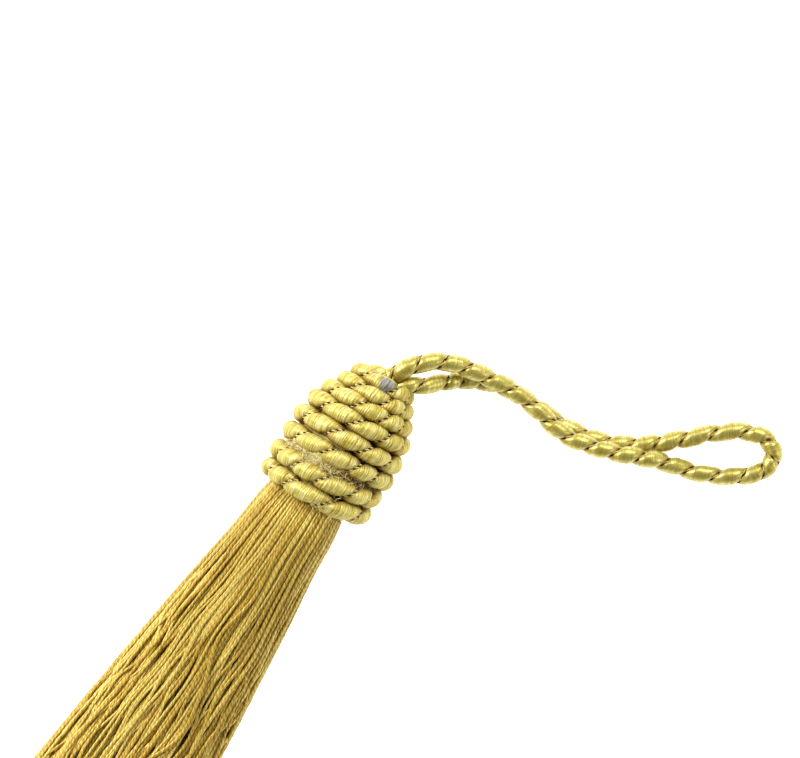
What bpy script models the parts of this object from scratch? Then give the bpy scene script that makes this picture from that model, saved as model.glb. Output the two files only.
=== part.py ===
# Silk tassel lying on a surface: a beehive head wound from thick gimp cord,
# a hanging loop of the same cord, and a skirt of cut yarns.
#
# Frame: +X runs along the head, from the skirt to the loop, +Z is up, and the
# origin is the flat spot on which the head rests. Sizes are in millimetres.

import math

import bmesh
import bpy
import numpy as np
from mathutils import Vector

MM = 0.001

# The gimp cord: a wrapped strand that one thin thread pinches in a spiral.
CORD_DIAMETER = 2.2
CORD_RADIUS = CORD_DIAMETER / 2
CLEARANCE = 0.3

# The head: eight turns of the cord round the top of the yarn bundle. Each row
# is one turn: where the cord's middle crosses the left side, the front (up)
# and the right side (-Y) of the head, along X, and the head's outer radius.
TURNS = (
    # left, front, right, outer radius
    (-7.3, -7.2, -5.7, 7.44),
    (-4.7, -4.9, -3.2, 7.60),
    (-1.9, -1.3, -0.7, 7.60),
    (0.7, 1.1, 1.6, 7.60),
    (3.2, 3.4, 4.1, 7.10),
    (5.2, 5.5, 6.1, 6.30),
    (7.1, 7.3, 7.8, 5.25),
    (8.8, 9.1, 9.4, 4.20),
)
# The cord's two ends, in turns, how far each tucks in towards the axis, over
# how many turns the first end does so, and how far along X each runs on.
WINDING_START = -0.8125
WINDING_END = 7.5
TUCK_IN = 0.6
TUCK_TURNS = 0.2
START_RUN = -0.9
END_RUN = 0.2
COLUMNS_PER_TURN = 48
# The cord's skin across one turn, in degrees from its outermost line.
RIDGE_ANGLES = (-55, -28, 0, 28, 55)
# The valley between touching turns lies this far outside their middles. Where
# turns stand apart, its floor sinks by this share of the space between them.
VALLEY_LIFT = 0.22
VALLEY_SINK = 0.45
# Where a turn past the top one would lie from it, in cord diameters.
TOP_LEAN = (0.35, -0.7)
TOP_EYE_RADIUS = 1.2
TOP_X = 10.3
BASE_RADIUS = 5.45
BASE_X = -9.1
# The thin thread's spiral on the cord, and how deep it pinches the cord in.
HEAD_THREAD_PITCH = 4.35
THREAD_DENT = 0.32
# The head rests on turns that are pressed flat by this much.
HEAD_SINK = 0.45

# The hanging loop: the cord's middle from one end at the head to the other.
# It comes down to the surface, lies on it, turns back at the eye and passes
# under itself once on the way home.
LOOP_ROUTE = (
    # x, y, z
    (11.1, -0.35, 7.64),
    (12.1, -0.85, 7.84),
    (15.0, -3.3, 7.4),
    (16.4, -5.9, 6.5),
    (17.0, -8.5, 5.75),
    (17.3, -10.6, 5.15),
    (17.6, -12.9, 4.55),
    (17.6, -15.4, 4.05),
    (17.3, -18.0, 3.7),
    (16.9, -20.1, 3.55),
    (16.7, -22.3, 3.47),
    (17.3, -25.4, 3.4),
    (18.2, -28.2, 3.3),
    (19.3, -30.8, 3.1),
    (20.3, -33.0, 2.5),
    (21.0, -35.1, 1.65),
    (21.6, -37.2, 1.15),
    (22.5, -39.7, 1.1),
    (23.9, -42.2, 1.1),
    (25.4, -44.2, 1.1),
    (26.9, -45.4, 1.1),
    (28.4, -45.7, 1.1),
    (29.7, -45.1, 1.1),
    (30.4, -43.7, 1.1),
    (30.2, -41.9, 1.1),
    (29.1, -39.8, 1.1),
    (27.3, -37.6, 1.1),
    (25.0, -35.3, 1.1),
    (20.4, -30.0, 1.1),
    (18.8, -27.0, 1.1),
    (17.9, -23.8, 1.1),
    (17.6, -20.5, 1.1),
    (17.7, -17.0, 1.1),
    (17.6, -13.6, 1.5),
    (17.0, -11.2, 2.15),
    (16.0, -9.1, 3.05),
    (14.9, -7.3, 4.1),
    (13.5, -5.7, 5.2),
    (12.0, -4.1, 6.35),
    (11.0, -2.7, 6.95),
)
LOOP_RINGS = 165
LOOP_SIDES = 10
LOOP_THREAD_PITCH = 3.5

# The skirt: yarns in columns and layers, their roots fused in a disc. Each row
# is one station along the yarns: the bundle's section there is round where its
# flatness is 0, and where it is 1 the section lies flat on the surface.
SKIRT_STATIONS = (
    # distance, half width, height, underside, flatness
    (0.0, 5.5, 10.6, 2.0, 0.0),
    (5.0, 6.0, 10.4, 1.2, 0.25),
    (12.0, 7.0, 9.2, 0.3, 0.7),
    (23.0, 8.4, 7.4, 0.0, 1.0),
    (50.0, 11.2, 5.4, 0.0, 1.0),
)
SKIRT_YARNS_ACROSS = 16
SKIRT_LAYERS = 9
SKIRT_DISC_THICKNESS = 0.8
# How round the bundle is at its diagonals: 0 is square and 0.5 is round.
ROUNDING = 0.46
YARN_WIDTH = 0.56
YARN_SHARE_OF_CELL = 0.76
YARN_SHARE_AT_ROOT = 0.66
YARN_ROOT_INSET = 0.02
# Layers step aside by this share of a yarn's cell, and ends by this length.
LAYER_STAGGER = 0.2
YARN_END_SPREAD = 0.6

# The head's axis height, and the plane that the skirt's disc starts from.
AXIS_Z = max(outer for _, _, _, outer in TURNS) - HEAD_SINK
DISC_TOP_X = BASE_X - CLEARANCE


def clear_scene():
    for old in list(bpy.data.objects):
        bpy.data.objects.remove(old, do_unlink=True)


def smooth_curve(knots, values, at):
    """Cubic curve through the values at the knots, read at the places in at."""
    knots = np.asarray(knots, float)
    values = np.asarray(values, float)
    slopes = np.gradient(values, knots, axis=0)
    cell = np.clip(np.searchsorted(knots, at) - 1, 0, len(knots) - 2)
    width = knots[cell + 1] - knots[cell]
    t = (at - knots[cell]) / width
    if values.ndim > 1:
        t = t[:, None]
        width = width[:, None]
    return ((2 * t**3 - 3 * t**2 + 1) * values[cell] + (t**3 - 2 * t**2 + t) * width * slopes[cell]
            + (3 * t**2 - 2 * t**3) * values[cell + 1] + (t**3 - t**2) * width * slopes[cell + 1])


def make_material(name, color, roughness):
    material = bpy.data.materials.new(name)
    material.use_nodes = True
    shader = material.node_tree.nodes["Principled BSDF"]
    shader.inputs["Base Color"].default_value = (*color, 1.0)
    shader.inputs["Roughness"].default_value = roughness
    shader.inputs["Metallic"].default_value = 0.0
    return material


def finish_object(name, bm, material):
    bmesh.ops.recalc_face_normals(bm, faces=bm.faces)
    bmesh.ops.triangulate(bm, faces=bm.faces)
    mesh = bpy.data.meshes.new(name)
    bm.to_mesh(mesh)
    bm.free()
    mesh.materials.append(material)
    mesh.shade_smooth()
    mesh.set_sharp_from_angle(angle=math.radians(50))
    piece = bpy.data.objects.new(name, mesh)
    bpy.context.scene.collection.objects.link(piece)
    return piece


def winding_path():
    """X and radius of the cord's middle at every column of the winding."""
    first = round(WINDING_START * COLUMNS_PER_TURN)
    last = round(WINDING_END * COLUMNS_PER_TURN)
    turns = np.arange(first, last + 1) / COLUMNS_PER_TURN

    side_turns = [number + side for number in range(len(TURNS)) for side in (-0.25, 0, 0.25)]
    side_x = [x for left, front, right, _ in TURNS for x in (left, front, right)]
    x = smooth_curve([WINDING_START] + side_turns + [WINDING_END],
                     [side_x[0] + START_RUN] + side_x + [side_x[-1] + END_RUN], turns)

    middles = [outer - CORD_RADIUS for _, _, _, outer in TURNS]
    radius_turns = [WINDING_START, WINDING_START + TUCK_TURNS] + list(range(len(TURNS))) + [WINDING_END]
    radius = smooth_curve(radius_turns, [middles[0] - TUCK_IN, middles[0]] + middles + [middles[-1] - TUCK_IN],
                          turns)
    return turns, x, radius


def thread_dent(travel, pitch, angle):
    """How far the thin spiral thread pinches the cord in, at an angle round it."""
    away = angle - 2 * math.pi * travel / pitch
    return THREAD_DENT * (0.5 + 0.5 * math.cos(away)) ** 2


def head_point(turn, x, radius):
    """A point round the head's axis: turn 0 is the top, a quarter on is -Y."""
    angle = 2 * math.pi * turn
    z = AXIS_Z + radius * math.cos(angle)
    return Vector((x, -radius * math.sin(angle), max(z, 0.0))) * MM


def build_head(material):
    """One solid of the wound form: a skin along the winding, closed at both ends."""
    turns, x, radius = winding_path()
    count = len(turns)
    per_turn = COLUMNS_PER_TURN
    centre = np.stack([x, radius], axis=1)
    step = np.linalg.norm(np.diff(centre, axis=0), axis=1)
    around = 2 * math.pi * radius[1:] / per_turn
    travel = np.concatenate([[0.0], np.cumsum(np.hypot(step, around))])

    def neighbour(column, shift):
        """The same side of the head one turn on or back; past the ends, a guess."""
        other = column + shift * per_turn
        if 0 <= other < count:
            return centre[other]
        if shift < 0:
            return centre[column] + (-CORD_DIAMETER, 0.0)
        return centre[column] + np.array(TOP_LEAN) * CORD_DIAMETER

    bm = bmesh.new()
    ridge, valley = [], []
    for column in range(count):
        below, above = neighbour(column, -1), neighbour(column, 1)
        up = (above - below) / np.linalg.norm(above - below)
        out = np.array([-up[1], up[0]])
        row = []
        for degrees in RIDGE_ANGLES:
            angle = math.radians(degrees)
            dent = thread_dent(travel[column], HEAD_THREAD_PITCH, angle)
            place = centre[column] + (CORD_RADIUS - dent) * (math.cos(angle) * out + math.sin(angle) * up)
            row.append(bm.verts.new(head_point(turns[column], *place)))
        ridge.append(row)
        span = above - centre[column]
        width = np.linalg.norm(span)
        lift = VALLEY_LIFT - VALLEY_SINK * max(width - CORD_DIAMETER, 0.0)
        place = centre[column] + span / 2 + lift * np.array([-span[1], span[0]]) / width
        valley.append(bm.verts.new(head_point(turns[column], place[0], max(place[1], TOP_EYE_RADIUS))))

    # The open edge under the first turn, then a ring round the yarn bundle.
    edge = [bm.verts.new(head_point(turns[c], centre[c][0] - CORD_RADIUS, centre[c][1]))
            for c in range(per_turn)]
    lower = edge + valley
    for column in range(count - 1):
        near = [lower[column]] + ridge[column] + [valley[column]]
        far = [lower[column + 1]] + ridge[column + 1] + [valley[column + 1]]
        for i in range(len(near) - 1):
            bm.faces.new((near[i], near[i + 1], far[i + 1], far[i]))

    base_ring = [bm.verts.new(head_point(turns[c], BASE_X, BASE_RADIUS)) for c in range(per_turn)]
    for c in range(per_turn):
        nxt = (c + 1) % per_turn
        bm.faces.new((lower[c + 1], base_ring[nxt], base_ring[c], lower[c]))
    bm.faces.new([base_ring[0], lower[0]] + ridge[0] + [valley[0]])
    bm.faces.new(base_ring)

    # The top: the last turn's upper edge is drawn together on the axis.
    top = bm.verts.new(head_point(0, TOP_X, 0))
    upper = valley[count - 1 - per_turn:]
    for c in range(per_turn):
        bm.faces.new((upper[c], upper[c + 1], top))
    bm.faces.new([top, upper[-1]] + ridge[-1][::-1] + [upper[0]])
    return finish_object("head_winding", bm, material)


def build_loop(material):
    """The loop as one tube whose rings lean away from the spiral thread."""
    route = np.array(LOOP_ROUTE)
    knots = np.concatenate([[0.0], np.cumsum(np.linalg.norm(np.diff(route, axis=0), axis=1))])
    places = np.linspace(0.0, knots[-1], LOOP_RINGS)
    centres = smooth_curve(knots, route, places)
    travel = np.concatenate([[0.0], np.cumsum(np.linalg.norm(np.diff(centres, axis=0), axis=1))])
    tangents = np.gradient(centres, travel, axis=0)

    bm = bmesh.new()
    rings = []
    side = Vector((0.0, 0.0, 1.0))
    for centre, tangent, run in zip(centres, tangents, travel):
        tangent = Vector(tangent).normalized()
        side = (side - side.dot(tangent) * tangent).normalized()
        other = tangent.cross(side)
        ring = []
        for i in range(LOOP_SIDES):
            angle = 2 * math.pi * i / LOOP_SIDES
            reach = CORD_RADIUS - thread_dent(run, LOOP_THREAD_PITCH, -angle)
            place = Vector(centre) + reach * (math.cos(angle) * side + math.sin(angle) * other)
            place.z = max(place.z, 0.0)
            ring.append(bm.verts.new(place * MM))
        rings.append(ring)
    for near, far in zip(rings, rings[1:]):
        for i in range(LOOP_SIDES):
            j = (i + 1) % LOOP_SIDES
            bm.faces.new((near[i], near[j], far[j], far[i]))
    bm.faces.new(rings[0])
    bm.faces.new(rings[-1])
    return finish_object("hanging_loop", bm, material)


def skirt_section(station, across, layer):
    """Y and Z of the bundle at a station, for a place in the unit square."""
    _, half_width, height, underside, flatness = station
    u = across * math.sqrt(1 - ROUNDING * layer**2)
    v = layer * math.sqrt(1 - ROUNDING * across**2)
    corner = math.sqrt(1 - ROUNDING)
    rim = min(math.sqrt(max(1 - ROUNDING * (u / corner) ** 2, 0.0)),
              corner * math.sqrt(max(1 - u**2, 0.0) / ROUNDING))
    return half_width * u, underside + height * (v + 1 - flatness + flatness * rim) / 2


def yarn_corners(station, across, layer, cell_width, cell_height):
    """The four corners of one yarn, no larger than its share of its cell."""
    most = YARN_SHARE_OF_CELL if station[0] else YARN_SHARE_AT_ROOT
    half_cell = (cell_width / 2, cell_height / 2)
    width = (skirt_section(station, across + half_cell[0], layer)[0]
             - skirt_section(station, across - half_cell[0], layer)[0])
    height = (skirt_section(station, across, layer + half_cell[1])[1]
              - skirt_section(station, across, layer - half_cell[1])[1])
    share = [min(most, YARN_WIDTH / size) for size in (width, height)]
    reach = [part * half for part, half in zip(share, half_cell)]
    return [skirt_section(station, across + sy * reach[0], layer + sz * reach[1])
            for sy, sz in ((-1, -1), (1, -1), (1, 1), (-1, 1))]


def build_skirt(material):
    """A disc of yarn ends, each cell drawn out into one yarn."""
    cell_width = 2 / SKIRT_YARNS_ACROSS
    cell_height = 2 / SKIRT_LAYERS
    root_x = DISC_TOP_X - SKIRT_DISC_THICKNESS
    first = SKIRT_STATIONS[0]

    bm = bmesh.new()
    grid = []
    for i in range(SKIRT_YARNS_ACROSS + 1):
        spots = [skirt_section(first, -1 + i * cell_width, -1 + j * cell_height) for j in range(SKIRT_LAYERS + 1)]
        grid.append([bm.verts.new(Vector((root_x, *spot)) * MM) for spot in spots])
    cells = {}
    for i in range(SKIRT_YARNS_ACROSS):
        for j in range(SKIRT_LAYERS):
            cells[i, j] = bm.faces.new((grid[i][j], grid[i + 1][j], grid[i + 1][j + 1], grid[i][j + 1]))

    rim = [edge for edge in bm.edges if edge.is_boundary]
    walls = bmesh.ops.extrude_edge_only(bm, edges=rim)["geom"]
    for vert in (item for item in walls if isinstance(item, bmesh.types.BMVert)):
        vert.co.x = DISC_TOP_X * MM
    bmesh.ops.contextual_create(bm, geom=[e for e in bm.edges if e.is_boundary])

    for (i, j), face in cells.items():
        across = -1 + (i + 0.5) * cell_width
        layer = -1 + (j + 0.5) * cell_height
        stagger = LAYER_STAGGER * cell_width * (1 if j % 2 else -1)
        reach = YARN_END_SPREAD * math.sin(i**2 + 7 * j)
        tip = cells[i, j]
        bmesh.ops.inset_individual(bm, faces=[tip], thickness=YARN_ROOT_INSET * MM)
        for number, station in enumerate(SKIRT_STATIONS):
            if number:
                tip = bmesh.ops.extrude_discrete_faces(bm, faces=[tip])["faces"][0]
            moved = across + stagger * station[-1] * (1 - across**2) ** 2
            corners = yarn_corners(station, moved, layer, cell_width, cell_height)
            last = number == len(SKIRT_STATIONS) - 1
            x = root_x - station[0] - (reach if last else 0.0)
            for vert, (y, z) in zip(tip.verts, corners):
                vert.co = Vector((x, y, z)) * MM
    return finish_object("skirt", bm, material)


def main():
    clear_scene()
    gimp = make_material("gimp_cord", (0.72, 0.60, 0.24), 0.42)
    yarn = make_material("skirt_yarn", (0.78, 0.58, 0.20), 0.45)
    build_head(gimp)
    build_loop(gimp)
    build_skirt(yarn)


main()
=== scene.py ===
import math

import bpy
import numpy as np
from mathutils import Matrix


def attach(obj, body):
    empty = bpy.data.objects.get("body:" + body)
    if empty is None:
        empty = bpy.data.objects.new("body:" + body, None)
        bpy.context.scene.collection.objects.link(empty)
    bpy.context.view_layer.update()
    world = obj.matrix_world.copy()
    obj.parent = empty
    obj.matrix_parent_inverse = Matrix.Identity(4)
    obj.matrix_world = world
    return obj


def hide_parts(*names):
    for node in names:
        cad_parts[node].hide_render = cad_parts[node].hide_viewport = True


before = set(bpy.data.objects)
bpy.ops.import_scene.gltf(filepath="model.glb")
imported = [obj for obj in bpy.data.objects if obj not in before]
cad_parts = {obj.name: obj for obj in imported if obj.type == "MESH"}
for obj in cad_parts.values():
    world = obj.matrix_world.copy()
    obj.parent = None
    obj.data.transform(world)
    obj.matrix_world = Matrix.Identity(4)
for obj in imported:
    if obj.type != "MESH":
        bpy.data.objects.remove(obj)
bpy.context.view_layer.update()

bpy.ops.object.select_all(action="DESELECT")
mm = 0.001
print("model loaded:", ", ".join(sorted(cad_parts)))


# the camera looks straight down, turned so that the head leans up to the right
view = {
    "target": (10.96, -1.15, 6.0),  # mm
    "distance": 800.0,
    "turn": -56.0,                  # degrees about the vertical
    "lens": 288.0,
    "sensor": 36.0,
    "clip": (0.01, 10.0),           # m
}
cameraData = bpy.data.cameras.new("camera")
cameraData.lens = view["lens"]
cameraData.sensor_width = view["sensor"]
cameraData.clip_start, cameraData.clip_end = view["clip"]
camera = bpy.data.objects.new("camera", cameraData)
bpy.context.scene.collection.objects.link(camera)
targetX, targetY, targetZ = view["target"]
camera.location = (targetX * mm, targetY * mm, (targetZ + view["distance"]) * mm)
camera.rotation_euler = (0.0, 0.0, math.radians(view["turn"]))
bpy.context.scene.camera = camera


def smoothCurve(knots, values, at):
    # cubic curve through the values at the knots
    knots = np.asarray(knots, float)
    values = np.asarray(values, float)
    slopes = np.gradient(values, knots, axis=0)
    cell = np.clip(np.searchsorted(knots, at) - 1, 0, len(knots) - 2)
    width = knots[cell + 1] - knots[cell]
    t = (at - knots[cell]) / width
    if values.ndim > 1:
        t = t[:, None]
        width = width[:, None]
    return ((2 * t**3 - 3 * t**2 + 1) * values[cell] + (t**3 - 2 * t**2 + t) * width * slopes[cell]
            + (3 * t**2 - 2 * t**3) * values[cell + 1] + (t**3 - t**2) * width * slopes[cell + 1])


def runLength(points):
    return np.concatenate([[0.0], np.cumsum(np.linalg.norm(np.diff(points, axis=0), axis=1))])


def unit(vectors):
    return vectors / np.linalg.norm(vectors, axis=-1, keepdims=True)


def spokes(angles, side, other):
    # directions at the angles, turned from side towards other
    return np.cos(angles)[..., None] * side[:, None] + np.sin(angles)[..., None] * other[:, None]


def uprightSide(along):
    # the direction square to along that points most upwards
    upward = np.array([0.0, 0.0, 1.0])
    return unit(upward - (along @ upward)[:, None] * along)


def waver(rng, count, spacing):
    # smooth random values from -1 to 1, one wave about every spacing places
    knots = np.arange(0, count + 2 * spacing, spacing)
    return smoothCurve(knots, rng.uniform(-1, 1, len(knots)), np.arange(count))


def addTubes(name, tubes, material, attributes=()):
    # tubes are arrays of rings in mm: ring, side, xyz. attributes are (name, list of arrays like the tubes)
    corners, faces, first = [], [], 0
    for tube in tubes:
        rings, sides = tube.shape[:2]
        middle = tube.mean(axis=1)
        spoke = tube - middle[:, None]
        turning = np.cross(spoke, np.roll(spoke, -1, axis=1)).sum(axis=1)
        rightWay = (turning[:-1] * np.diff(middle, axis=0)).sum() > 0
        a = first + np.arange(rings - 1)[:, None] * sides + np.arange(sides)[None, :]
        b = first + np.arange(rings - 1)[:, None] * sides + (np.arange(sides)[None, :] + 1) % sides
        quads = np.stack([a, b, b + sides, a + sides], axis=-1).reshape(-1, 4)
        startCap = list(range(first, first + sides))
        endCap = list(range(first + (rings - 1) * sides, first + rings * sides))
        if rightWay:
            startCap.reverse()
        else:
            quads = quads[:, ::-1]
            endCap.reverse()
        faces += quads.tolist() + [startCap, endCap]
        corners.append(tube.reshape(-1, 3))
        first += rings * sides
    mesh = bpy.data.meshes.new(name)
    mesh.from_pydata((np.concatenate(corners) * mm).tolist(), [], faces)
    mesh.shade_smooth()
    for label, values in attributes:
        flat = np.concatenate([v.reshape(-1, v.shape[-1]) if v.ndim == 3 else v.reshape(-1)
                               for v in values])
        kind = "FLOAT_VECTOR" if flat.ndim == 2 else "FLOAT"
        layer = mesh.attributes.new(label, kind, "POINT")
        layer.data.foreach_set("vector" if flat.ndim == 2 else "value", flat.astype(np.float32).ravel())
    mesh.materials.append(material)
    piece = bpy.data.objects.new(name, mesh)
    bpy.context.scene.collection.objects.link(piece)
    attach(piece, "root")
    return piece


def newGroup(name, inputs, outputs):
    group = bpy.data.node_groups.new(name, "ShaderNodeTree")
    for label, kind, value in inputs:
        socket = group.interface.new_socket(name=label, in_out="INPUT", socket_type=kind)
        if value is not None:
            socket.default_value = value
    for label, kind in outputs:
        group.interface.new_socket(name=label, in_out="OUTPUT", socket_type=kind)
    return group


def calculate(nodes, links, operation, *values):
    node = nodes.new("ShaderNodeMath")
    node.operation = operation
    for socket, value in zip(node.inputs, values):
        if isinstance(value, (int, float)):
            socket.default_value = value
        else:
            links.new(value, socket)
    return node.outputs[0]


def mapRange(nodes, links, value, low, high, start=0.0, end=1.0):
    # start becomes low, and end becomes high
    node = nodes.new("ShaderNodeMapRange")
    for label, limit in (("From Min", start), ("From Max", end), ("To Min", low), ("To Max", high)):
        node.inputs[label].default_value = limit
    links.new(value, node.inputs["Value"])
    return node.outputs["Result"]


def attribute(nodes, label, output="Fac"):
    node = nodes.new("ShaderNodeAttribute")
    node.attribute_name = label
    return node.outputs[output]


def objectNoise(nodes, links, scale, detail=2.0):
    place = nodes.new("ShaderNodeTexCoord")
    noise = nodes.new("ShaderNodeTexNoise")
    noise.inputs["Scale"].default_value = scale
    noise.inputs["Detail"].default_value = detail
    links.new(place.outputs["Object"], noise.inputs["Vector"])
    return noise.outputs["Fac"]


streaks = {
    "details": (("Fine", 3.0), ("Broad", 2.0)),
    "roughness": 0.6,
    "broadShare": 0.45,
    "darkest": 0.32,       # noise values that give no tone and full tone
    "lightest": 0.68,
}


def makeSilkStrands():
    # fine streaks of floss that run round the first axis of the place,
    # as a value for colour and one for relief
    group = newGroup("silkStrands",
                     [("Place", "NodeSocketVector", None), ("Fine", "NodeSocketFloat", 8.0),
                      ("Broad", "NodeSocketFloat", 2.0), ("Stretch", "NodeSocketFloat", 0.8)],
                     [("Tone", "NodeSocketFloat"), ("Relief", "NodeSocketFloat")])
    nodes, links = group.nodes, group.links
    inn = nodes.new("NodeGroupInput")
    out = nodes.new("NodeGroupOutput")
    tones = []
    for label, detail in streaks["details"]:
        scale = nodes.new("ShaderNodeCombineXYZ")
        links.new(inn.outputs[label], scale.inputs[0])
        links.new(inn.outputs["Stretch"], scale.inputs[1])
        links.new(inn.outputs["Stretch"], scale.inputs[2])
        stretched = nodes.new("ShaderNodeVectorMath")
        stretched.operation = "MULTIPLY"
        links.new(inn.outputs["Place"], stretched.inputs[0])
        links.new(scale.outputs[0], stretched.inputs[1])
        noise = nodes.new("ShaderNodeTexNoise")
        noise.inputs["Scale"].default_value = 1.0
        noise.inputs["Detail"].default_value = detail
        noise.inputs["Roughness"].default_value = streaks["roughness"]
        links.new(stretched.outputs[0], noise.inputs["Vector"])
        tones.append(noise)
    both = nodes.new("ShaderNodeMix")
    both.inputs["Factor"].default_value = streaks["broadShare"]
    links.new(tones[0].outputs["Fac"], both.inputs["A"])
    links.new(tones[1].outputs["Fac"], both.inputs["B"])
    clear = mapRange(nodes, links, both.outputs["Result"], 0.0, 1.0, streaks["darkest"], streaks["lightest"])
    links.new(clear, out.inputs["Tone"])
    links.new(tones[0].outputs["Fac"], out.inputs["Relief"])
    return group


silkStrands = makeSilkStrands()


yarnPlies = {
    "pitch": 1.4,          # mm, of a yarn's two plies round each other
    "across": 2.2,         # scales of the streaks round a ply and along it
    "along": 0.2,
    "grooves": 0.6,        # the lower, the narrower the grooves between the plies
    "plyGrooveShade": 0.8,      # how much lighter a ply's crown is than its groove: painted shade in the grooves
    "dimming": 0.6,
    "streakShare": 0.3,    # of the relief
}


def makeTwistedPlies():
    # turns the place round a yarn with its distance along, and gives the two grooves between its plies, for
    # relief and for painted shade
    group = newGroup("twistedPlies",
                     [("Wrap", "NodeSocketVector", None), ("Pitch", "NodeSocketFloat", 1.0)],
                     [("Place", "NodeSocketVector"), ("Ply", "NodeSocketFloat")])
    nodes, links = group.nodes, group.links
    inn = nodes.new("NodeGroupInput")
    out = nodes.new("NodeGroupOutput")
    parts = nodes.new("ShaderNodeSeparateXYZ")
    links.new(inn.outputs["Wrap"], parts.inputs[0])
    angle = calculate(nodes, links, "ARCTAN2", parts.outputs["Y"], parts.outputs["X"])
    perMm = calculate(nodes, links, "DIVIDE", 2 * math.pi, inn.outputs["Pitch"])
    twisted = calculate(nodes, links, "MULTIPLY_ADD", parts.outputs["Z"], perMm, angle)
    sine = calculate(nodes, links, "SINE", twisted)
    cosine = calculate(nodes, links, "COSINE", twisted)
    place = nodes.new("ShaderNodeCombineXYZ")
    for number, (value, scale) in enumerate(((cosine, yarnPlies["across"]), (sine, yarnPlies["across"]),
                                             (parts.outputs["Z"], yarnPlies["along"]))):
        links.new(calculate(nodes, links, "MULTIPLY", value, scale), place.inputs[number])
    links.new(place.outputs[0], out.inputs["Place"])
    groove = calculate(nodes, links, "ABSOLUTE", sine)
    links.new(calculate(nodes, links, "POWER", groove, yarnPlies["grooves"]), out.inputs["Ply"])
    return group


twistedPlies = makeTwistedPlies()


def newMaterial(name, slotColor):
    material = bpy.data.materials.new(name)
    material.use_nodes = True
    material.diffuse_color = (*slotColor, 1.0)
    nodes = material.node_tree.nodes
    return material, nodes, material.node_tree.links, nodes["Principled BSDF"]


def ramp(nodes, links, value, stops):
    colors = nodes.new("ShaderNodeValToRGB")
    while len(colors.color_ramp.elements) < len(stops):
        colors.color_ramp.elements.new(0.5)
    for element, (place, color) in zip(colors.color_ramp.elements, stops):
        element.position = place
        element.color = (*color, 1.0)
    links.new(value, colors.inputs["Fac"])
    return colors.outputs["Color"]


def mixColors(nodes, links, factor, first, second, blend="MIX"):
    mix = nodes.new("ShaderNodeMix")
    mix.data_type = "RGBA"
    mix.blend_type = blend
    colorSockets = [s for s in mix.inputs if s.type == "RGBA"]
    if isinstance(factor, float):
        mix.inputs["Factor"].default_value = factor
    else:
        links.new(factor, mix.inputs["Factor"])
    for socket, value in zip(colorSockets, (first, second)):
        if isinstance(value, tuple):
            socket.default_value = (*value, 1.0)
        else:
            links.new(value, socket)
    return [s for s in mix.outputs if s.type == "RGBA"][0]


def addStrands(nodes, links, place, fine, broad, stretch):
    strands = nodes.new("ShaderNodeGroup")
    strands.node_tree = silkStrands
    for label, value in (("Fine", fine), ("Broad", broad), ("Stretch", stretch)):
        strands.inputs[label].default_value = value
    links.new(place, strands.inputs["Place"])
    return strands.outputs["Tone"], strands.outputs["Relief"]


def addBump(nodes, links, shader, height, strength, distance):
    bump = nodes.new("ShaderNodeBump")
    bump.inputs["Strength"].default_value = strength
    bump.inputs["Distance"].default_value = distance * mm
    links.new(height, bump.inputs["Height"])
    links.new(bump.outputs["Normal"], shader.inputs["Normal"])


gimpFinish = {
    "shade": (0.24, 0.175, 0.012),
    "gold": (0.56, 0.465, 0.08),
    "pale": (0.80, 0.75, 0.34),
    "gloss": (1.0, 0.92, 0.62),
    "metal": 0.4,
    "rough": 0.38,
    "relief": 0.9,
    "coat": 0.1,
}
loopFinish = {
    "shade": (0.29, 0.22, 0.016),
    "gold": (0.45, 0.37, 0.052),
    "pale": (0.66, 0.59, 0.20),
    "gloss": (1.0, 0.97, 0.80),
    "metal": 0.62,
    "rough": 0.3,
    "relief": 0.12,
    "coat": 0.4,
}
silkWrap = {
    # brown of the painted shade in the cord's creases
    "paintedCreaseShade": (0.25, 0.12, 0.005),
    "fine": 6.0,           # streaks to a mm
    "broad": 2.6,
    "stretch": 0.7,
    "goldPlace": 0.42,
    "roughSpread": 0.16,
    "coatRough": 0.4,
    "specular": 0.8,
    "depth": 0.05,         # mm, of the relief
}
smudge = {
    "dark": (0.06, 0.06, 0.066),
    "pale": (0.30, 0.30, 0.32),
    "streaks": (0.15, 0.85),
    "place": (9.5, -0.3, 11.4),  # mm, on the top turn
    "outside": 2.6,        # mm from there, where it begins and where it is full
    "inside": 2.0,
    "most": 0.9,
    "ragged": 2.4,
    "cloudScale": 1300.0,
    "cloudDetail": 4.0,
}


def makeStain(nodes, links):
    # a ragged mask round the smudge's place
    place = nodes.new("ShaderNodeTexCoord")
    away = nodes.new("ShaderNodeVectorMath")
    away.operation = "DISTANCE"
    away.inputs[1].default_value = [v * mm for v in smudge["place"]]
    links.new(place.outputs["Object"], away.inputs[0])
    cloud = objectNoise(nodes, links, smudge["cloudScale"], smudge["cloudDetail"])
    ragged = calculate(nodes, links, "MULTIPLY_ADD", cloud, smudge["ragged"] * mm, away.outputs["Value"])
    return mapRange(nodes, links, ragged, 0.0, smudge["most"], smudge["outside"] * mm, smudge["inside"] * mm)


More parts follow.
